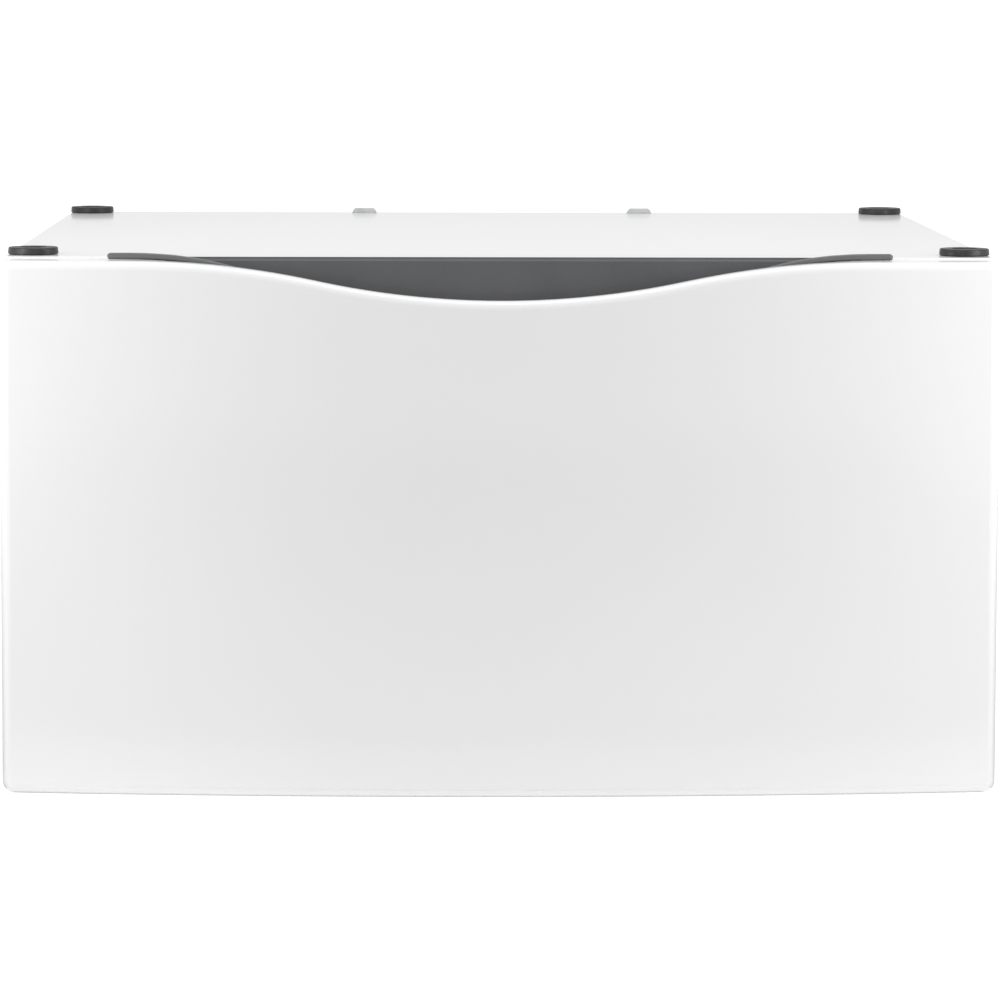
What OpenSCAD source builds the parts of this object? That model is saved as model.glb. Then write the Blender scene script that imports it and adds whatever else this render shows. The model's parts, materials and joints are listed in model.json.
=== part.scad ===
// Laundry pedestal: a steel base cabinet with one bowed-front storage drawer on
// ball-bearing slides, four levelling legs below and four rubber rings on the deck.
// Millimetres. +Z is up, the drawer opens towards -Y, and the origin is on the floor,
// in the middle of the footprint.

/* [Overall] */
// Width of the cabinet and of the drawer front
body_w = 686; // [640:1:720]
// Depth from the middle of the bowed front to the rear screw heads
body_d = 688; // [640:1:760]
// Height of the deck above the floor with the legs screwed right in
deck_z = 388; // [360:1:420]

/* [Cabinet] */
// Thickness of the deck, rail and bracket sheet
deck_t = 1.2; // [1:0.1:1.5]
// Thickness of the side, rear and drawer sheet
sheet_t = 1; // [0.8:0.1:1.2]
// Outside radius of the folds in the deck
fold_r = 3; // [2:0.5:4]
// Underside of the side panels above the floor
side_z0 = 22; // [20:1:24]
// Width of the side panels' front and rear flanges
flange_w = 21; // [18:1:24]

/* [Drawer front] */
// How far the middle of the drawer front stands ahead of its ends
front_bow = 20; // [12:1:30]
// Depth of the drawer front at its ends
front_end_d = 25; // [20:1:30]
// Underside of the drawer front above the floor
front_z0 = 19; // [15:1:24]
// Corner radius of the drawer front
front_corner_r = 8; // [4:1:12]
// Depth of the dip in the front's top edge
dip_d = 26.1; // [15:0.1:35]
// Half the width of that dip
dip_w = 253; // [200:1:260]

/* [Handle] */
// Half the length of the handle moulding
handle_w = 270; // [262:1:280]
// Wall thickness of the handle moulding
handle_t = 2.4; // [2:0.1:3]
// Drop of the handle's front lip in the middle
lip_d = 44; // [40:1:52]
// Drop of the handle pocket's floor in the middle
pocket_d = 66; // [58:1:80]
// Height of the handle's front lip
lip_h = 4; // [3:0.1:5]
// Setback of the front lip behind the drawer front's face, in the middle
lip_setback = 9.6; // [9.4:0.1:11]
// Radius of the front lip's curve, seen from above
lip_r = 1377; // [1300:1:2000]
// Radius of the lip's first bend at either end, seen from the front
lip_bend_r = 242; // [200:1:300]

/* [Drawer] */
// Outside width of the drawer box
box_w = 618.6; // [600:0.1:618.6]
// Underside of the drawer box above the floor
box_z0 = 61; // [60:1:70]
// Top edge of the drawer box above the floor
box_z1 = 325; // [280:1:330]
// Depth of the drawer box
box_d = 510; // [480:1:520]

/* [Slides] */
// Length of each slide rail
slide_l = 500; // [450:10:510]
// Height of the slides' centre line above the floor
slide_z = 190; // [150:1:220]
// Radius of the slides' bearing balls
ball_r = 2; // [1.9:0.1:2]
// Balls in each row
balls_n = 9; // [5:1:10]

/* [Legs] */
// Sideways distance of each leg from the middle
leg_x = 295; // [280:1:300]
// Distance of the front legs behind the cabinet's front edge
leg_front_in = 100; // [60:1:120]
// Distance of the rear legs ahead of the cabinet's rear edge
leg_rear_in = 57; // [50:1:70]
// Radius of the leg's threaded stud
stud_r = 4.76; // [4:0.01:5]

/* [Deck rings] */
// Outside radius of each rubber ring
ring_r = 17.5; // [15:0.5:20]
// Height of each rubber ring
ring_h = 5; // [4:0.5:8]
// Distance of the rings' outer edges inside the deck's sides
ring_side_in = 1.5; // [0:0.5:4]
// Distance of the front rings' centres behind the cabinet's front edge
ring_front_in = 31; // [25:1:40]

/* [Hidden] */
$fn = 48;

half_w = body_w / 2;
front_y = -body_d / 2;
rear_y = body_d / 2;
head_h = 3;                       // height of the rear screws' heads
front_gap = 3;                    // between the drawer front and the cabinet
front_back_y = front_y + front_bow + front_end_d;
cab_y0 = front_back_y + front_gap;
cab_y1 = rear_y - head_h;
deck_in_z = deck_z - deck_t;
side_in_x = half_w - sheet_t;
opening_x = half_w - flange_w;
seam_z = deck_z - 25.5;           // top of the side panels' outer face
deck_skirt = 24;                  // depth of the deck's side and rear flanges
deck_front_h = 30;                // depth of the deck's front flange
rail_z0 = side_z0 + sheet_t;
rail_z1 = rail_z0 + 30;
rail_d = 25;
rear_in_y = cab_y1 - deck_t - sheet_t;
bow_r = (half_w * half_w + front_bow * front_bow) / (2 * front_bow);
bow_cy = front_y + bow_r;
front_z1 = deck_z - 1.2;
lip_z = front_z1 + 0.2 + lip_h;
lip_w = 246;                      // half the width of the front lip's dip
wall_w = 220;                     // half the width of the pocket's straight rear wall
wall_z = deck_z + 0.4;
pocket_w = 252;                   // half the width of the pocket floor's dip
pocket_bend_r = 220;              // radius of the pocket floor's first bend
hem_gap = 0.6;                    // between the front's top flange and the lip behind it
box_x = box_w / 2;
box_y0 = front_back_y;
box_y1 = box_y0 + box_d;
slide_y0 = cab_y0 + 4;
slide_y1 = slide_y0 + slide_l;
cage_l = 240;
cage_y0 = slide_y0 + 128;
leg_y = [cab_y0 + leg_front_in, cab_y1 - leg_rear_in];
ring_y = [cab_y0 + ring_front_in, cab_y1 - ring_r];
ring_x = half_w - ring_side_in - ring_r;
bolt_r = 5.5;                     // deck holes for the appliance's bolts
gusset_z = rail_z0 + deck_t;
gusset_t = 2.5;

// ---- shared shapes -------------------------------------------------------

function unit(v) = v / norm(v);

// A right-angled corner of an outline, rounded to radius r.
function corner(p, din, dout, r, n = 6) =
    [for (i = [0:n]) let (t = 90 * i / n) p + (dout - din) * r + (din * sin(t) - dout * cos(t)) * r];

// A closed outline of right angles, each corner [x, y, r] rounded to its own r.
function rounded(pts) = [
    for (i = [0:len(pts) - 1])
        let (
            a = pts[(i + len(pts) - 1) % len(pts)], b = pts[i], c = pts[(i + 1) % len(pts)],
            p = [b.x, b.y], din = unit(p - [a.x, a.y]), dout = unit([c.x, c.y] - p)
        )
        each (b.z > 0 ? corner(p, din, dout, b.z) : [p])
];

// Sum of the radii of the two arcs that lead each side of a dip down to its middle.
function dip_arcs(d, w) = (w * w + d * d) / (2 * d);

// Drop of a smooth dip of depth d and half-width w, whose outer arcs have radius r.
function dip(x, d, w, r) =
    let (sum = dip_arcs(d, w), inner = sum - r, a = abs(x))
    a >= w ? 0 : a >= w * inner / sum ? r - sqrt(r * r - (w - a) * (w - a))
        : d - inner + sqrt(inner * inner - a * a);

// Points along a dip's edge from x0 to x1, where z is the height of the level edge either side.
function dip_line(x0, x1, z, d, w, r, n = 48) =
    [for (i = [0:n]) let (x = x0 + (x1 - x0) * i / n) [x, z - dip(x, d, w, r)]];

function lip_line(x0, x1, z) = dip_line(x0, x1, z, lip_d, lip_w, lip_bend_r);

function pocket_line(x0, x1, z) = dip_line(x0, x1, z, pocket_d, pocket_w, pocket_bend_r);

module along_y(y0, y1) {
    translate([0, y1, 0]) rotate([90, 0, 0]) linear_extrude(y1 - y0) children();
}

module along_x(x0, x1) {
    translate([x0, 0, 0]) rotate([90, 0, 90]) linear_extrude(x1 - x0) children();
}

module flip_y(dir) {
    if (dir < 0) mirror([0, 1, 0]) children();
    else children();
}

module plate(lo, hi) {
    translate(lo) cube(hi - lo);
}

module both_sides(side) {
    if (side < 0) mirror([1, 0, 0]) children();
    else children();
}

// Everything behind the bowed front's face, set back by inset.
module behind_bow(inset) {
    translate([0, bow_cy, -1]) cylinder(r = bow_r - inset, h = deck_z + 20, $fn = 256);
}

// Everything behind the handle lip's own, tighter curve, set back by inset.
module behind_lip(inset) {
    translate([0, front_y + lip_setback + lip_r, -1])
        cylinder(r = lip_r - inset, h = deck_z + 20, $fn = 256);
}

// ---- cabinet -------------------------------------------------------------

module deck_block(inset, depth) {
    r = fold_r - inset;
    x = half_w - inset;
    z = deck_z - inset;
    z0 = deck_z - depth;
    y0 = cab_y0 + inset;
    y1 = cab_y1 - inset;
    intersection() {
        along_y(y0, y1) polygon(rounded([[-x, z0, 0], [-x, z, r], [x, z, r], [x, z0, 0]]));
        along_x(-x, x) polygon(rounded([[y0, z0, 0], [y0, z, r], [y1, z, r], [y1, z0, 0]]));
        translate([0, 0, z0 - 1]) linear_extrude(depth + 2)
            polygon(rounded([[-x, y0, r], [-x, y1, r], [x, y1, r], [x, y0, r]]));
    }
}

tab_x = [-100.5, 125.6];             // middles of the rear panel's two hook tabs
tab_y = cab_y1 - 14.5;

module top_deck() {
    color("white") {
        difference() {
            deck_block(0, deck_front_h);
            deck_block(deck_t, deck_front_h + 5);
            plate([-half_w - 1, cab_y0 + 14, deck_z - deck_front_h - 1],
                  [half_w + 1, cab_y1 + 1, deck_z - deck_skirt]);
            for (x = [-ring_x, ring_x], y = ring_y)
                translate([x, y, deck_z - 5]) cylinder(r = bolt_r, h = 10);
            for (x = tab_x)
                plate([x - 14, tab_y - 2.2, deck_z - 5], [x + 14, tab_y + 2.2, deck_z + 5]);
        }
        plate([-side_in_x + 2, cab_y0 + deck_t - 0.2, deck_z - deck_front_h],
              [side_in_x - 2, cab_y0 + 14, deck_z - deck_front_h + deck_t]);
    }
}

module side_panel(side) {
    t = sheet_t;
    o = half_w;
    color("white") both_sides(side) {
        difference() {
            translate([0, 0, side_z0]) linear_extrude(seam_z - side_z0) polygon(rounded([
                [opening_x, cab_y0, 0], [o, cab_y0, 2.5], [o, cab_y1, 2.5], [o - 18, cab_y1, 0],
                [o - 18, cab_y1 - t, 0], [o - t, cab_y1 - t, 1.5], [o - t, cab_y0 + t, 1.5],
                [opening_x + t, cab_y0 + t, 0], [opening_x + t, cab_y0 + 9, 0], [opening_x, cab_y0 + 9, 0],
            ]));
            plate([opening_x - 1, cab_y0 - 1, deck_z - deck_front_h - 1], [o + 1, cab_y0 + 15, deck_z]);
            plate([opening_x - 1, cab_y0 + t, rail_z0 - 0.2],
                  [opening_x + 2 * t, cab_y0 + 10, rail_z1 + 0.2]);
            for (z = rear_screw_z)
                translate([o - 9, cab_y1 + 1, z]) rotate([90, 0, 0]) cylinder(r = 2.2, h = 4);
        }
        plate([o - 20, cab_y0 + t, side_z0], [o - t + 0.1, cab_y1 - t, side_z0 + t]);
        plate([o - t - 1.4, cab_y0 + 15, seam_z - t], [o, cab_y1 - deck_t - 1, seam_z]);
        plate([o - t - 1.4, cab_y0 + 15, seam_z - t], [o - 1.4, cab_y1 - deck_t - 1, deck_in_z - 1.3]);
    }
}

rear_screw_z = [60, 150, 240, 320];

// Section of a pressed stiffening bead at height z, wide at y0 and narrow at y1.
module bead(z, y0, y1, w0, w1) {
    polygon([[y0, z - w0], [y1, z - w1], [y1, z + w1], [y0, z + w0]]);
}

module rear_panel() {
    y1 = cab_y1 - deck_t;
    y0 = y1 - sheet_t;
    top = deck_in_z - 1.8;
    bead_w = 460;
    color("silver") {
        difference() {
            union() {
                plate([-half_w + 3, y0, side_z0 + 4], [half_w - 3, y1, top]);
                for (z = [120, 200, 280])
                    along_x(-bead_w / 2, bead_w / 2) bead(z, y0 + 0.2, y0 - 3, 9, 5);
            }
            for (z = [120, 200, 280])
                along_x(-bead_w / 2 + 1.5, bead_w / 2 - 1.5) bead(z, y1 + 1, y0 - 1.9, 9, 4.4);
            for (s = [-1, 1], z = rear_screw_z)
                translate([s * (half_w - 9), y1 + 1, z]) rotate([90, 0, 0]) cylinder(r = 2.2, h = 4);
        }
        plate([-290, tab_y - 0.5, top - sheet_t], [290, y0 + 0.1, top]);
        for (x = tab_x)
            along_y(tab_y - 0.5, tab_y + 0.5) polygon([
                [x - 11.6, top - 0.2], [x - 10.2, deck_z + 0.4],
                [x - 9.4, deck_z + 2.2], [x - 7.6, deck_z + 4.1],
                [x + 7.6, deck_z + 4.1], [x + 9.4, deck_z + 2.2],
                [x + 10.2, deck_z + 0.4], [x + 11.6, top - 0.2],
            ]);
    }
}

// A C-shaped rail between the side panels, open towards the inside of the cabinet.
module bottom_rail(web_y, dir) {
    x = side_in_x - 0.2;
    t = deck_t;
    color("gainsboro") translate([0, web_y, 0]) flip_y(dir)
        along_x(-x, x) polygon([
            [0, rail_z0], [0, rail_z1], [rail_d, rail_z1], [rail_d, rail_z1 - t],
            [t, rail_z1 - t], [t, rail_z0 + t], [rail_d, rail_z0 + t], [rail_d, rail_z0],
        ]);
}

// Corner plate that carries a leg's threaded bush, welded to the side panel and the rail.
module corner_gusset(side, i) {
    y = leg_y[i];
    inner_y = i == 0 ? y + 40 : y - 40;
    outer_y = i == 0 ? cab_y0 + sheet_t + deck_t : rear_in_y - deck_t;
    y0 = min(inner_y, outer_y);
    y1 = max(inner_y, outer_y);
    color("silver") both_sides(side) difference() {
        union() {
            plate([leg_x - 36, y0, gusset_z], [side_in_x, y1, gusset_z + gusset_t]);
            plate([side_in_x - gusset_t, i == 0 ? y0 + rail_d : y0, gusset_z],
                  [side_in_x, i == 0 ? y1 : y1 - rail_d, gusset_z + 30]);
        }
        translate([leg_x, y, gusset_z - 1]) cylinder(r = 9.1, h = gusset_t + 2);
        translate([leg_x - 36, inner_y, gusset_z - 1]) rotate([0, 0, 45])
            cube([34, 34, 20], center = true);
    }
}

module leg_bushes() {
    color("silver") for (x = [-leg_x, leg_x], y = leg_y) translate([x, y, gusset_z]) difference() {
        union() {
            cylinder(r = 9, h = 14);
            translate([0, 0, gusset_t]) cylinder(r = 12, h = 2.5);
        }
        translate([0, 0, -1]) cylinder(r = stud_r + 0.05, h = 16);
    }
}

module deck_brace(y) {
    t = deck_t;
    color("gainsboro") translate([0, y, 0]) along_x(-opening_x - 10, opening_x + 10) polygon([
        [-32, deck_in_z], [-32, deck_in_z - t], [-17, deck_in_z - t], [-12, deck_in_z - 18],
        [12, deck_in_z - 18], [17, deck_in_z - t], [32, deck_in_z - t], [32, deck_in_z],
        [16, deck_in_z], [11, deck_in_z - 18 + t], [-11, deck_in_z - 18 + t], [-16, deck_in_z],
    ]);
}

bracket_h = 64;
rivet_y = [slide_y0 + 60, slide_y0 + 250, slide_y0 + 440];

// Hat-shaped beam on the side panel that the fixed slide rail is riveted to.
module slide_bracket(side) {
    t = deck_t;
    h = bracket_h / 2;
    color("silver") both_sides(side) difference() {
        translate([0, 0, slide_z]) along_y(cab_y0 + 10, rear_in_y) polygon(rounded([
            [opening_x, -h, 2], [opening_x, h, 2], [side_in_x - t, h, 0], [side_in_x - t, h + 12, 0],
            [side_in_x, h + 12, 0], [side_in_x, h - t, 0], [opening_x + t, h - t, 0.8],
            [opening_x + t, -h + t, 0.8], [side_in_x, -h + t, 0], [side_in_x, -h - 12, 0],
            [side_in_x - t, -h - 12, 0], [side_in_x - t, -h, 0],
        ]));
        for (y = rivet_y)
            translate([opening_x - 1, y, slide_z]) rotate([0, 90, 0]) cylinder(r = 2.3, h = 4);
    }
}

// ---- slides --------------------------------------------------------------
// In each slide's own section, u runs from the cabinet towards the drawer and v is up.

rail_t = 1.3;
outer_v = 22.5;                   // half the height of the fixed rail
middle_v = 18.2;
inner_v = 13.9;
outer_race = [opening_x - 6, 19.7];
inner_race = [opening_x - 7.5, 15.4];
race_r = ball_r + 0.05;
cage_t = 0.6;

// A C section with its web at x = web and its lips reaching to x = tip.
module rail_c(web, tip, v, t) {
    d = web > tip ? -t : t;
    polygon([
        [web, -v], [web, v], [tip, v], [tip, v - t],
        [web + d, v - t], [web + d, -v + t], [tip, -v + t], [tip, -v],
    ]);
}

module races(at) {
    for (s = [-1, 1]) translate([at.x, s * at.y]) circle(r = race_r);
}

module slide_rail(side, y0, y1) {
    color("silver") both_sides(side) translate([0, 0, slide_z]) along_y(y0, y1) children();
}

module rivet_holes(x) {
    for (y = rivet_y) translate([x - 3, y, slide_z]) rotate([0, 90, 0]) cylinder(r = 2.3, h = 6);
}

module slide_outer(side) {
    difference() {
        slide_rail(side, slide_y0, slide_y1) difference() {
            rail_c(opening_x, opening_x - 10.1, outer_v, rail_t);
            races(outer_race);
        }
        both_sides(side) rivet_holes(opening_x);
    }
}

module slide_middle(side) {
    slide_rail(side, slide_y0 + 2, slide_y1 - 2) difference() {
        rail_c(opening_x - 2.9, opening_x - 9.8, middle_v, rail_t);
        races(outer_race);
        races(inner_race);
    }
}

module slide_inner(side) {
    difference() {
        slide_rail(side, slide_y0, slide_y1) difference() {
            rail_c(box_x, box_x + 7.1, inner_v, rail_t);
            races(inner_race);
        }
        both_sides(side) rivet_holes(box_x);
        both_sides(side) translate([box_x - 1, lever_y, slide_z]) rotate([0, 90, 0])
            cylinder(r = 1.55, h = 4);
    }
}

function ball_y(i) = cage_y0 + 14 + i * (cage_l - 28) / (balls_n - 1);

module ball_cage(side, at, web, tip) {
    color("tan") both_sides(side) difference() {
        translate([0, 0, slide_z]) along_y(cage_y0, cage_y0 + cage_l)
            rail_c(web, tip, at.y + cage_t / 2, cage_t);
        for (i = [0:balls_n - 1])
            translate([at.x, ball_y(i), slide_z - 25]) cylinder(r = ball_r + 0.1, h = 50);
    }
}

module balls(side, at) {
    color("silver") both_sides(side) for (i = [0:balls_n - 1], s = [-1, 1])
        translate([at.x, ball_y(i), slide_z + s * at.y]) sphere(r = ball_r);
}

module slide_rivets() {
    color("silver") for (s = [-1, 1]) both_sides(s) for (y = rivet_y)
        translate([opening_x - rail_t + 0.05, y, slide_z]) rotate([0, 90, 0]) {
            cylinder(r = 2.25, h = rail_t + deck_t + 0.1);
            translate([0, 0, rail_t + deck_t - 0.05]) cylinder(r = 4.5, h = 1.8);
        }
}

lever_y = slide_y0 + 150;
lever_l = 58;

// Thumb lever that frees the drawer from its slide, pivoted on a pin through the rail's web.
module slide_lever(side) {
    x0 = box_x + rail_t + 0.3;
    color("dimgray") both_sides(side) {
        translate([0, 0, slide_z]) along_x(x0, x0 + 1.6) polygon([
            [lever_y - 8, -3], [lever_y - 8, 3], [lever_y + 18, 3.2], [lever_y + lever_l - 12, 5],
            [lever_y + lever_l, 5], [lever_y + lever_l, 2.4], [lever_y + lever_l - 14, 1], [lever_y + 14, -3],
        ]);
        translate([box_x + 0.1, lever_y, slide_z]) rotate([0, 90, 0]) cylinder(r = 1.5, h = rail_t + 1);
    }
}

// ---- drawer front --------------------------------------------------------

// The drawer front as a solid block, inset all round.
module front_blank(inset, y0, y1) {
    x = half_w - inset;
    z0 = front_z0 + inset;
    z1 = front_z1 - inset;
    r = front_corner_r - inset;
    difference() {
        intersection() {
            along_y(y0, y1) polygon(rounded([[-x, z0, r], [-x, z1, r], [x, z1, r], [x, z0, r]]));
            behind_bow(inset);
        }
        along_y(front_y - 2, y1 + 1)
            polygon(concat(
                [[-dip_w, front_z1 + 9]],
                dip_line(-dip_w, dip_w, z1, dip_d, dip_w, dip_arcs(dip_d, dip_w) / 2),
                [[dip_w, front_z1 + 9]]));
    }
}

module front_skin() {
    color("white") difference() {
        front_blank(0, front_y - 1, front_back_y);
        front_blank(sheet_t, front_y - 1, front_back_y + 1);
        intersection() {
            plate([-lip_w - 2, front_y, deck_z - 80], [lip_w + 2, front_back_y + 1, deck_z + 5]);
            behind_lip(-hem_gap);
        }
    }
}

screw_pts = [[-240, 90], [0, 90], [240, 90], [-240, 280], [0, 280], [240, 280]];

module front_backplate() {
    t = sheet_t;
    x = side_in_x - 0.2;
    z0 = front_z0 + t + 0.2;
    z1 = front_z1 - t - 0.2;
    r = front_corner_r - t - 0.2;
    y1 = front_back_y;
    color("gainsboro") difference() {
        along_y(y1 - 13, y1) polygon(rounded([[-x, z0, r], [-x, z1, r], [x, z1, r], [x, z0, r]]));
        along_y(y1 - 14, y1 - t)
            polygon(rounded([
                [-x + t, z0 + t, r - t], [-x + t, z1 - t, r - t],
                [x - t, z1 - t, r - t], [x - t, z0 + t, r - t],
            ]));
        plate([-pocket_w - 2, y1 - 14, deck_z - 90], [pocket_w + 2, y1 - t, deck_z]);
        for (p = screw_pts) translate([p.x, y1 + 1, p.y]) rotate([90, 0, 0]) cylinder(r = 2.1, h = 4);
    }
}

// The moulded finger pocket: a lip along the front, a curved floor and a straight rear wall.
module handle_insert() {
    t = handle_t;
    y1 = front_back_y - sheet_t;
    color("dimgray") {
        intersection() {
            union() {
                along_y(front_y, y1) polygon(concat(
                    pocket_line(-handle_w, handle_w, lip_z), pocket_line(handle_w, -handle_w, lip_z - t)));
                difference() {
                    along_y(front_y, y1) polygon(concat(
                        lip_line(-handle_w, handle_w, lip_z), lip_line(handle_w, -handle_w, lip_z - t)));
                    behind_lip(8);
                }
                difference() {
                    along_y(front_y, y1) polygon(concat(
                        lip_line(-handle_w, handle_w, lip_z), lip_line(handle_w, -handle_w, lip_z - lip_h)));
                    behind_lip(3);
                }
                difference() {
                    along_y(front_y, y1) polygon(concat(
                        lip_line(-lip_w, lip_w, lip_z), pocket_line(lip_w, -lip_w, lip_z - t)));
                    behind_lip(t);
                }
            }
            behind_lip(0);
            plate([-handle_w, front_y, deck_z - 90], [handle_w, y1, deck_z + 10]);
        }
        along_y(y1 - t, y1) polygon(concat(
            [[wall_w, wall_z], [-wall_w, wall_z]], pocket_line(-wall_w, wall_w, lip_z - t / 2)));
    }
}

// ---- drawer box ----------------------------------------------------------

hem_w = 10;
hem_h = 7;

module drawer_bottom() {
    x = box_x - sheet_t - 0.7;
    color("gainsboro") {
        plate([-x, box_y0 + sheet_t, box_z0 + sheet_t], [x, box_y1 - sheet_t, box_z0 + 2 * sheet_t]);
        for (i = [-2:2]) translate([i * 100 + (i < 0 ? -15 : i > 0 ? 15 : 0), 0, 0])
            along_y(box_y0 + 50, box_y1 - 50) polygon([
                [-8, box_z0 + 1.9], [-5, box_z0 + 3.8], [5, box_z0 + 3.8], [8, box_z0 + 1.9],
            ]);
    }
}

module drawer_side(side) {
    t = sheet_t;
    o = box_x;
    z0 = box_z0;
    z1 = box_z1;
    color("gainsboro") both_sides(side) difference() {
        along_y(box_y0 + t, box_y1 - t) polygon(rounded([
            [o, z0, 1.5], [o - 16, z0, 0], [o - 16, z0 + t, 0], [o - t, z0 + t, 0.5], [o - t, z1 - t, 1],
            [o - hem_w + t, z1 - t, 1], [o - hem_w + t, z1 - hem_h, 0], [o - hem_w, z1 - hem_h, 0],
            [o - hem_w, z1, 2], [o, z1, 2],
        ]));
        rivet_holes(box_x);
    }
}

// An end wall of the box; its hem folds inwards, towards dir along Y.
module drawer_end(y, dir) {
    t = sheet_t;
    z0 = box_z0 + t;
    z1 = box_z1;
    translate([0, y, 0]) flip_y(dir) {
        plate([-box_x, 0, z0], [box_x, t, z1 - 2]);
        along_x(-box_x + hem_w + 0.3, box_x - hem_w - 0.3) polygon(rounded([
            [0, z1 - 3, 0], [0, z1, 2], [hem_w, z1, 2], [hem_w, z1 - hem_h, 0], [hem_w - t, z1 - hem_h, 0],
            [hem_w - t, z1 - t, 1], [t, z1 - t, 1], [t, z1 - 3, 0],
        ]));
    }
}

module drawer_front_wall() {
    color("gainsboro") difference() {
        drawer_end(box_y0, 1);
        for (p = screw_pts) translate([p.x, box_y0 + 3, p.y]) rotate([90, 0, 0]) cylinder(r = 2.1, h = 6);
    }
}

module drawer_back_wall() {
    color("gainsboro") drawer_end(box_y1, -1);
}

module drawer_bumpers() {
    color("dimgray") for (x = [-half_w + 11, half_w - 11], z = [40, 330])
        translate([x, front_back_y + front_gap - 0.3, z]) rotate([90, 0, 0])
            cylinder(r1 = 4.2, r2 = 5.5, h = front_gap - 0.3);
}

module drawer_screws() {
    color("silver") {
        for (p = screw_pts) translate([p.x, box_y0 + sheet_t, p.y]) rotate([90, 0, 0]) {
            cylinder(r = 2, h = 9);
            translate([0, 0, -2]) difference() {
                cylinder(r1 = 3.2, r2 = 4.2, h = 2);
                for (a = [0, 90]) rotate([0, 0, a]) translate([0, 0, 0.5]) cube([4, 0.9, 1.4], center = true);
            }
        }
        for (s = [-1, 1]) both_sides(s) for (y = rivet_y)
            translate([box_x - sheet_t, y, slide_z]) rotate([0, 90, 0]) {
                cylinder(r = 2.25, h = sheet_t + rail_t - 0.1);
                translate([0, 0, -1.2]) cylinder(r1 = 3, r2 = 4.5, h = 1.2);
            }
    }
}

// A sliding divider that hangs on the end walls' hems.
module drawer_divider() {
    y0 = box_y0 + hem_w + 0.6;
    y1 = box_y1 - hem_w - 0.6;
    z1 = box_z1 + 0.4;
    color("dimgray") {
        plate([-1.25, y0, box_z0 + 10], [1.25, y1, z1]);
        plate([-7, y0 - hem_w + 2.4, z1], [7, y1 + hem_w - 2.4, z1 + 2.4]);
        plate([-7, y0, z1 - 6], [7, y0 + 2.4, z1]);
        plate([-7, y1 - 2.4, z1 - 6], [7, y1, z1]);
        plate([-5, y0, box_z0 + 10], [5, y1, box_z0 + 12.4]);
        for (i = [1:4]) let (y = y0 + (y1 - y0) * i / 5)
            plate([-3.5, y - 1, box_z0 + 12], [3.5, y + 1, z1 + 0.1]);
    }
}

// ---- fasteners, rings and legs -------------------------------------------

module hex(af, h) {
    cylinder(r = af / 2 / cos(30), h = h, $fn = 6);
}

module rear_screws() {
    color("silver") for (s = [-1, 1], z = rear_screw_z)
        translate([s * (half_w - 9), cab_y1, z]) rotate([-90, 0, 0]) {
            cylinder(r = 5.2, h = 0.8);
            hex(7, head_h);
            translate([0, 0, -9]) cylinder(r = 2.1, h = 9.1);
        }
}

module deck_ring(side, i) {
    color("dimgray") translate([side * ring_x, ring_y[i], deck_z]) difference() {
        union() {
            cylinder(r1 = ring_r, r2 = ring_r - 0.4, h = ring_h - 0.8);
            translate([0, 0, ring_h - 0.8]) cylinder(r1 = ring_r - 0.4, r2 = ring_r - 1.2, h = 0.8);
        }
        translate([0, 0, -1]) cylinder(r = 6.5, h = ring_h + 2);
        translate([0, 0, ring_h - 2.2]) cylinder(r1 = 8, r2 = 9.4, h = 2.3);
    }
}

module leg_pad(side, i) {
    color("dimgray") translate([side * leg_x, leg_y[i], 0]) difference() {
        union() {
            cylinder(r1 = 19, r2 = 19, h = 4);
            translate([0, 0, 4]) cylinder(r1 = 19, r2 = 14, h = 8);
        }
        translate([0, 0, 6.3]) cylinder(r = 9.3, h = 4.2);
        translate([0, 0, 6]) cylinder(r = 6, h = 8);
    }
}

module leg_stud(side, i) {
    color("silver") translate([side * leg_x, leg_y[i], 0]) {
        translate([0, 0, 6.6]) cylinder(r = 9, h = 3.6);
        translate([0, 0, 10]) cylinder(r = 5.5, h = 3.2);
        translate([0, 0, 13]) hex(15, 4);
        translate([0, 0, 16.9]) cylinder(r = stud_r, h = 38.1);
        translate([0, 0, 55]) cylinder(r1 = stud_r, r2 = stud_r - 1, h = 1);
    }
}

module leg_nut(side, i) {
    color("silver") translate([side * leg_x, leg_y[i], gusset_z - 6.3]) difference() {
        hex(17, 6);
        translate([0, 0, -1]) cylinder(r = stud_r + 0.05, h = 8);
    }
}

// ---- nodes ---------------------------------------------------------------

top_deck();
side_panel(-1);  // side_panel_left
side_panel(1);  // side_panel_right
rear_panel();
bottom_rail(cab_y0 + sheet_t, 1);  // front_bottom_rail
bottom_rail(rear_in_y, -1);  // rear_bottom_rail
corner_gusset(-1, 0);  // corner_gusset_front_left
corner_gusset(1, 0);  // corner_gusset_front_right
corner_gusset(-1, 1);  // corner_gusset_rear_left
corner_gusset(1, 1);  // corner_gusset_rear_right
leg_bushes();
deck_brace(-150);  // deck_brace_front
deck_brace(150);  // deck_brace_rear
slide_bracket(-1);  // slide_bracket_left
slide_bracket(1);  // slide_bracket_right
slide_outer(-1);  // slide_outer_left
slide_outer(1);  // slide_outer_right
rear_screws();
slide_rivets();
deck_ring(-1, 0);  // deck_ring_front_left
deck_ring(1, 0);  // deck_ring_front_right
deck_ring(-1, 1);  // deck_ring_rear_left
deck_ring(1, 1);  // deck_ring_rear_right
slide_middle(-1);  // slide_middle_left
slide_middle(1);  // slide_middle_right
ball_cage(-1, outer_race, opening_x - 1.8, opening_x - 9);  // outer_cage_left
ball_cage(1, outer_race, opening_x - 1.8, opening_x - 9);  // outer_cage_right
balls(-1, outer_race);  // outer_balls_left
balls(1, outer_race);  // outer_balls_right
ball_cage(-1, inner_race, opening_x - 4.6, opening_x - 10.5);  // inner_cage_left
ball_cage(1, inner_race, opening_x - 4.6, opening_x - 10.5);  // inner_cage_right
balls(-1, inner_race);  // inner_balls_left
balls(1, inner_race);  // inner_balls_right
front_skin();
front_backplate();
handle_insert();
drawer_bottom();
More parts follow.
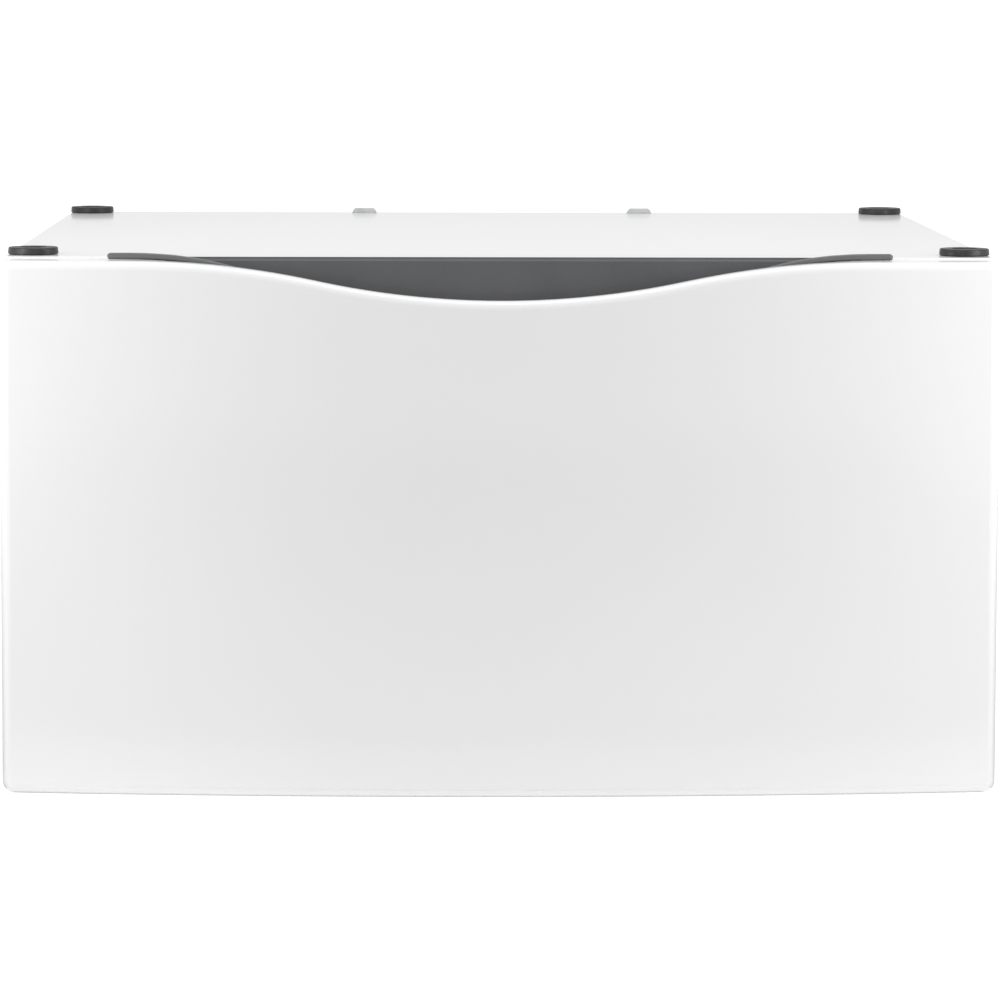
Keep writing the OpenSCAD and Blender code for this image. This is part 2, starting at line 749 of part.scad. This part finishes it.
drawer_side(-1);  // drawer_side_left
drawer_side(1);  // drawer_side_right
drawer_front_wall();
drawer_back_wall();
slide_inner(-1);  // slide_inner_left
slide_inner(1);  // slide_inner_right
drawer_bumpers();
drawer_screws();
slide_lever(-1);  // slide_lever_left
slide_lever(1);  // slide_lever_right
drawer_divider();
leg_pad(-1, 0);  // leg_pad_front_left
leg_pad(1, 0);  // leg_pad_front_right
leg_pad(-1, 1);  // leg_pad_rear_left
leg_pad(1, 1);  // leg_pad_rear_right
leg_stud(-1, 0);  // leg_stud_front_left
leg_stud(1, 0);  // leg_stud_front_right
leg_stud(-1, 1);  // leg_stud_rear_left
leg_stud(1, 1);  // leg_stud_rear_right
leg_nut(-1, 0);  // leg_nut_front_left
leg_nut(1, 0);  // leg_nut_front_right
leg_nut(-1, 1);  // leg_nut_rear_left
leg_nut(1, 1);  // leg_nut_rear_right
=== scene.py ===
"""Laundry pedestal: materials, detailed pieces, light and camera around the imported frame.

Metres, +Z up, front towards -Y.
"""
import json
import math

import bmesh
import bpy
from mathutils import Matrix, Vector


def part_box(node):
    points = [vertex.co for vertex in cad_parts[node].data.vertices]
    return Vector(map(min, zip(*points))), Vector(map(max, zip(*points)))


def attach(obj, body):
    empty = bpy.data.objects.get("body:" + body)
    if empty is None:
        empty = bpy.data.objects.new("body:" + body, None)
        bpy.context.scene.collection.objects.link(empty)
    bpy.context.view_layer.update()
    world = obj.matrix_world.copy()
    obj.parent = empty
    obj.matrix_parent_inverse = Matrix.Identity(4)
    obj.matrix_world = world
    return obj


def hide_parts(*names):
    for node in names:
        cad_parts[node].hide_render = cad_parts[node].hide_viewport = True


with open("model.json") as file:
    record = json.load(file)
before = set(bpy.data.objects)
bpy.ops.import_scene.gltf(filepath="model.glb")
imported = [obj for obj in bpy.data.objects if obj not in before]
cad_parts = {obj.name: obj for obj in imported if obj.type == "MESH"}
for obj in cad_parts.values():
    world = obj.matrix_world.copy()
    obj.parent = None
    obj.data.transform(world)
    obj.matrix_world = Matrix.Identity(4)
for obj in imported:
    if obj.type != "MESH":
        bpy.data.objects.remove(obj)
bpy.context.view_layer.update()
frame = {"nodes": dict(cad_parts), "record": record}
NODES = frame["nodes"]
MM = 0.001

# ---- the part's own dimensions, read from the frame --------------------------

skin_lo, skin_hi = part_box("front_skin")
DECK_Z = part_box("top_deck")[1].z
grip_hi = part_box("handle_insert")[1]
HALF_W = skin_hi.x
FRONT_Y = skin_lo.y
FRONT_BACK_Y = skin_hi.y
FRONT_Z0, FRONT_Z1 = skin_lo.z, skin_hi.z
BOW = 20 * MM
BOW_R = (HALF_W**2 + BOW**2) / (2 * BOW)
CORNER_R = 8 * MM
EDGE_R = 7 * MM
SHEET = 1 * MM
DIP_D, DIP_W = 26.1 * MM, 253 * MM
LIP_D, LIP_W, LIP_BEND_R = 44 * MM, 246 * MM, 242 * MM
LIP_H, LIP_BACK, LIP_R = 4 * MM, 9.6 * MM, 1377 * MM
POCKET_D, POCKET_W, POCKET_BEND_R = 66 * MM, 252 * MM, 220 * MM
HEM_GAP, HEM_END = 0.6 * MM, LIP_W + 2 * MM
WALL = 2.4 * MM
WALL_TOP = DECK_Z + 0.4 * MM


def dip(x, d, w, r=None):
    """Drop at x of a smooth dip of depth d and half-width w.

    Its outer arcs have radius r, or without r the radius of the inner ones.
    """
    both = (w * w + d * d) / (2 * d)
    r = r or both / 2
    inner = both - r
    a = abs(x)
    if a >= w:
        return 0.0
    if a >= w * inner / both:
        return r - math.sqrt(r * r - (w - a) ** 2)
    return d - inner + math.sqrt(inner * inner - a * a)


def face_y(x):
    """The bowed front's face at x."""
    return FRONT_Y + BOW_R - math.sqrt(BOW_R**2 - x * x)


def lip_y(x):
    """The face of the handle's front lip at x."""
    return FRONT_Y + LIP_BACK + LIP_R - math.sqrt(LIP_R**2 - x * x)


# ---- mesh helpers -------------------------------------------------------------


def make(name, verts, faces, sharp=35.0):
    """A new object from vertices and faces, cleaned, with outward normals.

    Edges that turn by more than `sharp` degrees stay crisp.
    """
    mesh = bpy.data.meshes.new(name)
    mesh.from_pydata([tuple(v) for v in verts], [], faces)
    bm = bmesh.new()
    bm.from_mesh(mesh)
    bmesh.ops.remove_doubles(bm, verts=bm.verts, dist=1e-6)
    bmesh.ops.dissolve_degenerate(bm, edges=bm.edges, dist=1e-6)
    bmesh.ops.recalc_face_normals(bm, faces=bm.faces)
    bm.to_mesh(mesh)
    bm.free()
    mesh.shade_smooth()
    mesh.set_sharp_from_angle(angle=math.radians(sharp))
    obj = bpy.data.objects.new(name, mesh)
    bpy.context.scene.collection.objects.link(obj)
    return obj


def loft(rings, closed_ends=True):
    """Vertices and faces through equal-length closed rings."""
    n = len(rings[0])
    verts = [p for ring in rings for p in ring]
    faces = []
    for i in range(len(rings) - 1):
        for k in range(n):
            a, b = i * n + k, i * n + (k + 1) % n
            faces.append((a, b, b + n, a + n))
    if closed_ends:
        faces.append(tuple(range(n))[::-1])
        faces.append(tuple(range((len(rings) - 1) * n, len(rings) * n)))
    return verts, faces


def fillet(points, steps=4):
    """A closed outline with each corner (u, v, radius) rounded; a radius is cut down to fit short sides."""
    out = []
    n = len(points)
    for i, (u, v, r) in enumerate(points):
        p = Vector((u, v))
        a = Vector(points[i - 1][:2]) - p
        b = Vector(points[(i + 1) % n][:2]) - p
        if r <= 0 or a.length < 1e-6 or b.length < 1e-6:
            out += [p.copy() for _ in range(steps + 1)]
            continue
        half = a.angle(b) / 2
        if half > math.radians(89) or half < math.radians(1):
            out += [p.copy() for _ in range(steps + 1)]
            continue
        reach = min(r / math.tan(half), a.length * 0.45, b.length * 0.45)
        radius = reach * math.tan(half)
        a.normalize()
        b.normalize()
        centre = p + (a + b).normalized() * (radius / math.sin(half))
        start, end = p + a * reach - centre, p + b * reach - centre
        for k in range(steps + 1):
            t = k / steps
            d = start * (1 - t) + end * t
            out.append(centre + d.normalized() * radius if d.length > 1e-9 else p.copy())
    return out


def revolve(name, outline, centre, segments=96, sharp=35.0):
    """A solid of revolution about a vertical axis from a closed (radius, height) outline."""
    rings = []
    for i in range(segments):
        c, s = math.cos(2 * math.pi * i / segments), math.sin(2 * math.pi * i / segments)
        rings.append([(centre[0] + p[0] * c, centre[1] + p[0] * s, centre[2] + p[1]) for p in outline])
    verts, faces = loft(rings + [rings[0]], closed_ends=False)
    return make(name, verts, faces, sharp)


# ---- materials ----------------------------------------------------------------


class Shader:
    """A Principled material with a few helpers for its procedural detail."""

    def __init__(self, name, rough, metal=0.0, coat=0.0, coat_rough=0.1, spec=0.5):
        self.m = bpy.data.materials.new(name)
        self.m.use_nodes = True
        self.t = self.m.node_tree
        self.p = self.t.nodes["Principled BSDF"]
        self.p.inputs["Roughness"].default_value = rough
        self.p.inputs["Metallic"].default_value = metal
        self.p.inputs["Coat Weight"].default_value = coat
        self.p.inputs["Coat Roughness"].default_value = coat_rough
        self.p.inputs["Specular IOR Level"].default_value = spec
        self.coord = self.t.nodes.new("ShaderNodeTexCoord").outputs["Object"]
        self.height = None

    def node(self, kind, **values):
        n = self.t.nodes.new(kind)
        for k, v in values.items():
            if k in n.inputs:
                n.inputs[k].default_value = v
            else:
                setattr(n, k, v)
        return n

    def noise(self, scale, detail=2.0, stretch=(1, 1, 1), rough=0.5):
        m = self.node("ShaderNodeMapping")
        m.inputs["Scale"].default_value = stretch
        self.t.links.new(self.coord, m.inputs["Vector"])
        n = self.node("ShaderNodeTexNoise", Scale=scale, Detail=detail, Roughness=rough)
        self.t.links.new(m.outputs[0], n.inputs["Vector"])
        return n.outputs["Fac"]

    def cells(self, scale):
        n = self.node("ShaderNodeTexVoronoi", Scale=scale)
        self.t.links.new(self.coord, n.inputs["Vector"])
        sep = self.node("ShaderNodeSeparateColor")
        self.t.links.new(n.outputs["Color"], sep.inputs[0])
        return sep.outputs[0]

    def span(self, value, lo, hi, to_lo, to_hi):
        n = self.node("ShaderNodeMapRange")
        for i, v in enumerate((lo, hi, to_lo, to_hi)):
            n.inputs[i + 1].default_value = v
        self.t.links.new(value, n.inputs[0])
        return n.outputs[0]

    def colour(self, value, dark, light, lo=0.3, hi=0.7):
        ramp = self.node("ShaderNodeValToRGB")
        ramp.color_ramp.elements[0].position = lo
        ramp.color_ramp.elements[1].position = hi
        ramp.color_ramp.elements[0].color = (*dark, 1)
        ramp.color_ramp.elements[1].color = (*light, 1)
        self.t.links.new(value, ramp.inputs[0])
        self.t.links.new(ramp.outputs[0], self.p.inputs["Base Color"])

    def rough(self, value, lo, hi):
        self.t.links.new(self.span(value, 0.3, 0.7, lo, hi), self.p.inputs["Roughness"])

    def bump(self, value, distance, strength=1.0):
        n = self.node("ShaderNodeBump", Strength=strength, Distance=distance)
        self.t.links.new(value, n.inputs["Height"])
        if self.height is not None:
            self.t.links.new(self.height, n.inputs["Normal"])
        self.height = n.outputs[0]
        self.t.links.new(self.height, self.p.inputs["Normal"])


def enamel():
    s = Shader("white_enamel", 0.3, coat=0.55, coat_rough=0.09, spec=0.45)
    s.colour(s.noise(3.0, 2), (0.826, 0.828, 0.826), (0.846, 0.847, 0.844))
    s.rough(s.noise(6, 1), 0.28, 0.32)
    s.bump(s.noise(110, 1), 0.000002, 0.5)
    return s.m


def drawer_paint():
    s = Shader("drawer_paint", 0.42, coat=0.1, coat_rough=0.2)
    s.colour(s.noise(5, 3), (0.70, 0.71, 0.71), (0.74, 0.75, 0.745))
    s.rough(s.noise(60, 4), 0.36, 0.5)
    s.bump(s.noise(900, 2), 0.00003, 0.6)
    return s.m


def moulded_plastic():
    s = Shader("grey_plastic", 0.46, spec=0.45)
    s.colour(s.noise(22, 4), (0.108, 0.110, 0.114), (0.122, 0.124, 0.128))
    s.rough(s.noise(300, 3), 0.40, 0.54)
    s.bump(s.noise(2600, 2), 0.00004, 0.5)
    s.bump(s.noise(180, 2), 0.00002, 0.35)
    return s.m


def rubber():
    s = Shader("black_rubber", 0.45, spec=0.45)
    s.colour(s.noise(160, 5), (0.018, 0.018, 0.019), (0.036, 0.035, 0.035))
    s.rough(s.noise(420, 4), 0.36, 0.56)
    s.bump(s.noise(1500, 3), 0.00007, 0.7)
    return s.m


def galvanised():
    s = Shader("galvanised_steel", 0.42, metal=0.88)
    s.colour(s.cells(95), (0.55, 0.57, 0.58), (0.66, 0.67, 0.68), 0.05, 0.95)
    s.t.links.new(s.span(s.cells(95), 0, 1, 0.36, 0.46), s.p.inputs["Roughness"])
    s.bump(s.noise(260, 3), 0.00002, 0.6)
    return s.m


def zinc(name, tint, stretch, lo=0.26, hi=0.42):
    s = Shader(name, 0.34, metal=0.95)
    s.colour(s.noise(70, 5, stretch), tuple(c * 0.88 for c in tint), tint)
    s.rough(s.noise(240, 4, stretch), lo, hi)
    s.bump(s.noise(700, 3, stretch), 0.00001, 0.6)
    return s.m


def ball_steel():
    s = Shader("ball_steel", 0.1, metal=1.0)
    s.colour(s.noise(300, 2), (0.70, 0.71, 0.72), (0.80, 0.81, 0.82))
    s.rough(s.noise(900, 2), 0.06, 0.16)
    return s.m


MATERIALS = {
    "white_enamel": enamel(),
    "drawer_paint": drawer_paint(),
    "grey_plastic": moulded_plastic(),
    "black_rubber": rubber(),
    "galvanised_steel": galvanised(),
    "zinc_plate": zinc("zinc_plate", (0.66, 0.67, 0.69), (1, 0.04, 1)),
    "fastener_zinc": zinc("fastener_zinc", (0.62, 0.62, 0.58), (1, 1, 0.2)),
    "ball_steel": ball_steel(),
}
SLOT_OF = {s["node"]: s["material_slot"] for s in frame["record"]["subparts"]}


def dress(obj, slot, body=None):
    """Gives a piece the material of its slot and, for a new piece, its body."""
    obj.data.materials.clear()
    obj.data.materials.append(MATERIALS[slot])
    if body:
        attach(obj, body)


# ---- CAD nodes carried over ---------------------------------------------------

# Width in mm of the fine edge round on each slot's CAD nodes.
BEVEL = {
    "white_enamel": 0.35,
    "drawer_paint": 0.3,
    "galvanised_steel": 0.25,
    "grey_plastic": 0.45,
    "zinc_plate": 0.2,
    "fastener_zinc": 0.25,
    "black_rubber": 0.4,
}
BEVEL_ANGLE = 50

for name, obj in NODES.items():
    slot = SLOT_OF[name]
    dress(obj, slot)
    if slot not in BEVEL:
        continue
    weld = obj.modifiers.new("weld", "WELD")
    weld.merge_threshold = 1e-6
    bevel = obj.modifiers.new("edges", "BEVEL")
    bevel.width = BEVEL[slot] * MM
    bevel.segments = 2
    bevel.limit_method = "ANGLE"
    bevel.angle_limit = math.radians(BEVEL_ANGLE)
    bevel.harden_normals = True

# ---- bowed drawer front ---------------------------------------------------------


def drawer_front():
    """The bowed skin: a face, an edge rolled back at EDGE_R and a flange behind it.

    The same surfaces lie a sheet's thickness inside, joined at the flange's rim.
    """
    steps, rows, roll_steps, turn_step = 200, 14, 7, 15
    hem_step = 0.1 * MM
    x_in = HALF_W - EDGE_R
    rc = CORNER_R - EDGE_R
    top, bottom = FRONT_Z1 - EDGE_R, FRONT_Z0 + EDGE_R
    turns = [math.radians(a) for a in range(0, 90, turn_step)]
    turn = [(rc * (1 - math.cos(a)), rc * (1 - math.sin(a))) for a in turns]
    columns = [(-x_in + dx, dz) for dx, dz in turn]
    xs = [(-x_in + rc) + (2 * (x_in - rc)) * i / steps for i in range(steps + 1)]
    for end in (-HEM_END, HEM_END):
        xs = [x for x in xs if abs(x - end) > 12 * hem_step] + [end - hem_step, end + hem_step]
    columns += [(x, 0.0) for x in sorted(xs)] + [(x_in - dx, dz) for dx, dz in reversed(turn)]
    grid = []
    for x, dz in columns:
        low, high = bottom + dz, top - dz - dip(x, DIP_D, DIP_W)
        grid.append([(x, low + (high - low) * j / rows) for j in range(rows + 1)])
    last = len(columns) - 1
    loop = [(i, 0) for i in range(last + 1)] + [(last, j) for j in range(1, rows)]
    loop += [(i, rows) for i in range(last, -1, -1)] + [(0, j) for j in range(rows - 1, 0, -1)]
    verts, faces, index = [], [], {}

    def add(x, z, y):
        verts.append((x, y, z))
        return len(verts) - 1

    for layer, setback in (("out", 0.0), ("in", SHEET)):
        for i, col in enumerate(grid):
            for j, (x, z) in enumerate(col):
                index[layer, i, j] = add(x, z, face_y(x) + setback)
        for i in range(last):
            for j in range(rows):
                quad = [index[layer, i + di, j + dj] for di, dj in ((0, 0), (1, 0), (1, 1), (0, 1))]
                faces.append(tuple(quad if layer == "out" else quad[::-1]))
    normals = []
    for k in range(len(loop)):
        a, b = (Vector(grid[i][j]) for i, j in (loop[k - 1], loop[(k + 1) % len(loop)]))
        t = (b - a).normalized()
        normals.append(Vector((t.y, -t.x)))
    rings = {"out": [[index["out", i, j] for i, j in loop]], "in": [[index["in", i, j] for i, j in loop]]}
    for layer, r in (("out", EDGE_R), ("in", EDGE_R - SHEET)):
        for step in range(1, roll_steps + 1):
            phi = math.radians(90 * step / roll_steps)
            ring = []
            for (i, j), n in zip(loop, normals):
                p = Vector(grid[i][j]) + n * (r * math.sin(phi))
                ring.append(add(p.x, p.y, face_y(p.x) + EDGE_R - r * math.cos(phi)))
            rings[layer].append(ring)
        ring = []
        for (i, j), n in zip(loop, normals):
            p = Vector(grid[i][j]) + n * r
            hem = j == rows and abs(grid[i][j][0]) < HEM_END
            ring.append(add(p.x, p.y, lip_y(p.x) - HEM_GAP if hem else FRONT_BACK_Y))
        rings[layer].append(ring)
    count = len(loop)
    chain = rings["out"] + rings["in"][::-1]
    for a, b in zip(chain, chain[1:]):
        for k in range(count):
            faces.append((a[k], b[k], b[(k + 1) % count], a[(k + 1) % count]))
    obj = make("drawer_front_skin", verts, faces, 40)
    obj.modifiers.new("even_normals", "WEIGHTED_NORMAL").keep_sharp = True
    dress(obj, "white_enamel", "drawer")
    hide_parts("front_skin")
    return obj


drawer_front()

# ---- handle moulding --------------------------------------------------------------


def handle():
    """The finger pocket: a rolled lip in front, a filleted trough and a straight wall.

    The wall ends in a sloped ledge. Both ends of the piece are rounded.
    """
    half = grip_hi.x
    lip_z = grip_hi.z
    back = grip_hi.y
    end_r, ledge, undercut, lip_top = 1.9 * MM, 1.3 * MM, 0.9 * MM, 8 * MM
    small, trough_front = 0.3 * MM, 3 * MM
    rings = []
    steps, end_steps = 240, 8
    flat = half - end_r
    cap = [flat + end_r * math.sin(math.pi / 2 * k / end_steps) for k in range(1, end_steps + 1)]
    along = [-flat + 2 * flat * k / steps for k in range(steps + 1)]
    for x in [-c for c in reversed(cap)] + along + cap:
        end = max(0.0, abs(x) - flat) / end_r
        pinch = end_r * (1 - math.sqrt(max(0.0, 1 - end * end)))
        y = lip_y(x)
        lip = lip_z - dip(x, LIP_D, LIP_W, LIP_BEND_R)
        floor = lip_z - dip(x, POCKET_D, POCKET_W, POCKET_BEND_R)
        under = max(lip - WALL, floor)
        wall = max(WALL_TOP, floor) - pinch
        low = min(floor - WALL, lip - LIP_H)
        shelf = y + min(lip_top, (back - WALL - y) * 0.6)
        bed = floor - pinch
        outline = [
            (y + pinch + undercut, low + pinch, 0.2 * MM),
            (y + pinch, low + pinch + undercut, 0.6 * MM),
            (y + pinch, lip - pinch, 1.8 * MM),
            (shelf, lip - pinch, 1.1 * MM),
            (shelf, under - pinch, 1.0 * MM),
            (y + WALL, under - pinch, 1.2 * MM),
            (y + WALL, bed, 5 * MM),
            (back - WALL, bed, 6 * MM),
            (back - WALL, max(wall - 2 * ledge, bed), small),
            (back - ledge, max(wall - ledge, bed), small),
            (back - ledge, max(wall, bed), small),
            (back, max(wall, bed), small),
            (back, floor - WALL, 0),
            (y + trough_front, floor - WALL, 0),
            (y + trough_front, low + pinch, small),
        ]
        rings.append([(x, p.x, p.y) for p in fillet(outline, 3)])
    obj = make("handle_moulding", *loft(rings), 38)
    dress(obj, "grey_plastic", "drawer")
    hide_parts("handle_insert")
    return obj


handle()

# ---- rubber rings, leg pads and studs ------------------------------------------------


def seat(node):
    """Radius, height and bottom centre of a round CAD node."""
    lo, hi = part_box(node)
    return (hi.x - lo.x) / 2, hi.z - lo.z, ((lo.x + hi.x) / 2, (lo.y + hi.y) / 2, lo.z)


def turned(name, node, outline, steps, segments, body):
    """A rubber piece turned from a filleted (radius, height, corner radius) outline, in place of its node."""
    obj = revolve(name, [(p.x, p.y) for p in fillet(outline, steps)], seat(node)[2], segments)
    dress(obj, "black_rubber", body)
    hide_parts(node)


def deck_ring(end, side):
    """A rubber ring with a small foot recess and a countersunk hole."""
    node = f"deck_ring_{end}_{side}"
    r, h, _ = seat(node)
    bore, rim, recess = 6.5 * MM, 9.6 * MM, 0.9 * MM
    sink_r, sink_z = 8.2 * MM, h - 2.1 * MM
    turned(f"rubber_ring_{end}_{side}", node, [
        (bore, 0, 0.2 * MM),
        (r - recess, 0, 0),
        (r - recess, 0.35 * MM, 0),
        (r, 0.6 * MM, 0.3 * MM),
        (r - 0.4 * MM, h, 0.9 * MM),
        (rim, h, 0.5 * MM),
        (sink_r, sink_z, 0.4 * MM),
        (bore, sink_z, 0.4 * MM),
    ], 4, 96, "cabinet")


def leg_pad(end, side):
    """A levelling leg's pad: a grooved sole, a sloped side and a socket around the stud's disc."""
    node = f"leg_pad_{end}_{side}"
    r, _, _ = seat(node)
    groove_z, top, neck, fine = 0.8 * MM, 12 * MM, 6 * MM, 0.1 * MM
    socket_r, socket_z0, socket_z1 = 9.3 * MM, 6.3 * MM, 10.5 * MM
    sole = []
    for k in range(4):
        a = 4 + 3.6 * k
        sole += [(a * MM, 0, fine), ((a + 1.9) * MM, 0, fine)]
        sole += [((a + 2.3) * MM, groove_z, fine), ((a + 3.2) * MM, groove_z, fine)]
    turned(f"levelling_pad_{end}_{side}", node, [
        (0, groove_z, 0),
        (3.4 * MM, groove_z, fine),
        *sole,
        (r - 0.4 * MM, 0, 0.2 * MM),
        (r, 1.0 * MM, 0.8 * MM),
        (r, 4 * MM, 1.6 * MM),
        (14 * MM, top, 1.2 * MM),
        (neck, top, 0.4 * MM),
        (neck, socket_z1, 0),
        (socket_r, socket_z1, 0.2 * MM),
        (socket_r, socket_z0, 0.2 * MM),
        (neck, socket_z0, 0),
        (0, 6.0 * MM, 0),
    ], 3, 72, f"leg_{end}_{side}")


def leg_stud(end, side):
    """A levelling stud: foot disc, neck, hexagon and a cut thread."""
    node = f"leg_stud_{end}_{side}"
    lo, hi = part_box(node)
    cx, cy = (lo.x + hi.x) / 2, (lo.y + hi.y) / 2
    r, pitch, depth = 4.76 * MM, 1.27 * MM, 0.6 * MM
    z_hex, z_thread, z_top = 13 * MM, 17 * MM, hi.z
    segments = 48
    rings = []

    def ring(z, radius):
        turn = [2 * math.pi * k / segments for k in range(segments)]
        rings.append([(cx + radius(a) * math.cos(a), cy + radius(a) * math.sin(a), z(a)) for a in turn])

    def plain(height, radius):
        ring(lambda a: height, lambda a: radius)

    def hexagon(across, chamfer=0.0):
        sixth = math.pi / 3
        corner = across / 2 * 1.11 - chamfer
        return lambda a: min(across / 2 / math.cos((a + sixth / 2) % sixth - sixth / 2), corner)

    disc_r, neck_r, disc_z = 9.0 * MM, 5.5 * MM, 10.2 * MM
    foot = ((lo.z, 8.4 * MM), (lo.z + 0.6 * MM, disc_r), (disc_z, disc_r), (disc_z, neck_r), (z_hex, neck_r))
    for height, radius in foot:
        plain(height, radius)
    for height, cut in ((z_hex, 0.5), (z_hex + 0.5 * MM, 0.0), (z_thread - 0.5 * MM, 0.0), (z_thread, 0.5)):
        ring(lambda a, h=height: h, hexagon(15 * MM, cut * MM))
    plain(z_thread, r - depth)
    rows = int((z_top - z_thread - 1.2 * MM) / pitch * 6)
    for k in range(rows + 1):
        z = z_thread + 0.2 * MM + (z_top - z_thread - 1.2 * MM) * k / rows

        def cut(a, z=z):
            phase = ((z - z_thread) / pitch - a / (2 * math.pi)) % 1.0
            return r - depth * (1 - min(1.0, 2.4 * min(phase, 1 - phase)))

        ring(lambda a, h=z: h, cut)
    plain(z_top - 0.8 * MM, r - 0.3 * MM)
    plain(z_top, r - 1.0 * MM)
    obj = make(f"levelling_stud_{end}_{side}", *loft(rings), 32)
    dress(obj, "fastener_zinc", f"leg_{end}_{side}")
    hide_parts(node)


for end in ("front", "rear"):
    for side in ("left", "right"):
        deck_ring(end, side)
        leg_pad(end, side)
        leg_stud(end, side)

# ---- stage, light and camera ------------------------------------------------------------

WORLD, FLOOR_GLOW, SIDE_POWER, TOP_POWER, BACK_POWER = 0.74, 1.12, 1.9, 5.0, 2.4
scene = bpy.context.scene
scene.view_settings.view_transform = "Standard"
scene.view_settings.look = "None"

world = bpy.data.worlds.new("studio")
world.use_nodes = True
world.node_tree.nodes["Background"].inputs["Color"].default_value = (1, 1, 1, 1)
world.node_tree.nodes["Background"].inputs["Strength"].default_value = WORLD
scene.world = world

floor_mesh = bpy.data.meshes.new("floor")
FLOOR_HALF = 400
floor_corners = [(x * FLOOR_HALF, y * FLOOR_HALF, 0) for x, y in ((-1, -1), (1, -1), (1, 1), (-1, 1))]
floor_mesh.from_pydata(floor_corners, [], [(0, 1, 2, 3)])
floor = bpy.data.objects.new("floor", floor_mesh)
scene.collection.objects.link(floor)
paper = Shader("studio_floor", 0.85, spec=0.1)
paper.colour(paper.noise(2.0, 2), (0.10, 0.10, 0.10), (0.11, 0.11, 0.11))
paper.p.inputs["Emission Color"].default_value = (1, 1, 1, 1)
paper.p.inputs["Emission Strength"].default_value = FLOOR_GLOW
floor.data.materials.append(paper.m)

flag_cloth = Shader("flag_cloth", 0.9, spec=0.1)
flag_cloth.colour(flag_cloth.noise(2.0, 2), (0.10, 0.10, 0.10), (0.12, 0.12, 0.12))


def flag(name, outline):
    """A dark cloth on the floor that the camera doesn't see: it holds back the white floor's light."""
    mesh = bpy.data.meshes.new(name)
    mesh.from_pydata([(x, y, 2 * MM) for x, y in outline], [], [tuple(range(len(outline)))])
    obj = bpy.data.objects.new(name, mesh)
    scene.collection.objects.link(obj)
    obj.visible_camera = False
    obj.data.materials.append(flag_cloth.m)


def rectangle(x0, x1, y0, y1):
    """The corners of a flag with straight sides."""
    return [(x0, y0), (x1, y0), (x1, y1), (x0, y1)]


UNDER_HALF, UNDER_BACK, UNDER_INSET = 0.34, 0.34, 9 * MM
under_xs = [UNDER_HALF * (k / 10 - 1) for k in range(21)]
under_front = [(x, face_y(x) + UNDER_INSET) for x in under_xs]
flag("flag_under", under_front + [(UNDER_HALF, UNDER_BACK), (-UNDER_HALF, UNDER_BACK)])
flag("flag_before", rectangle(-0.5, 0.5, -0.405, -0.378))
flag("flag_ahead", rectangle(-1.0, 1.0, -3.0, -0.66))
flag("flag_left", rectangle(-1.6, -0.36, -0.33, 1.8))
flag("flag_right", rectangle(0.36, 1.6, -0.33, 1.8))


def softbox(name, place, target, size, power):
    light = bpy.data.lights.new(name, "AREA")
    light.shape = "RECTANGLE"
    light.size, light.size_y = size
    light.energy = power
    obj = bpy.data.objects.new(name, light)
    obj.location = place
    obj.visible_camera = False
    obj.rotation_euler = (Vector(target) - Vector(place)).to_track_quat("-Z", "Y").to_euler()
    scene.collection.objects.link(obj)


for x, side in ((-0.75, "left"), (0.75, "right")):
    softbox(f"softbox_{side}", (x, -0.62, 0.5), (x * 0.3, -0.34, 0.22), (0.3, 0.3), SIDE_POWER)
softbox("softbox_above", (0, -0.2, 1.5), (0, -0.2, 0), (1.4, 0.5), TOP_POWER)
softbox("softbox_behind", (0, 2.2, 0.75), (0, 0, 0.5), (5.0, 1.4), BACK_POWER)

YAW, PITCH, ROLL, FOCAL_PX, SHIFT = 0.01853, 0.08961, 0.0028, 4600.0, -0.1
CAMERA_PLACE = (-0.0587, -3.4619, 0.5738)
camera = bpy.data.objects.new("camera", bpy.data.cameras.new("camera"))
camera.data.lens = FOCAL_PX * camera.data.sensor_width / 1000
camera.data.shift_y = SHIFT
forward = Vector((math.sin(YAW) * math.cos(PITCH), math.cos(YAW) * math.cos(PITCH), -math.sin(PITCH)))
right = Vector((math.cos(YAW), -math.sin(YAW), 0))
up = right.cross(forward)
right, up = right * math.cos(ROLL) + up * math.sin(ROLL), up * math.cos(ROLL) - right * math.sin(ROLL)
aim = Matrix((right, up, -forward)).transposed().to_4x4()
camera.matrix_world = Matrix.Translation(CAMERA_PLACE) @ aim
camera.data.clip_end = 1500
scene.collection.objects.link(camera)
scene.camera = camera
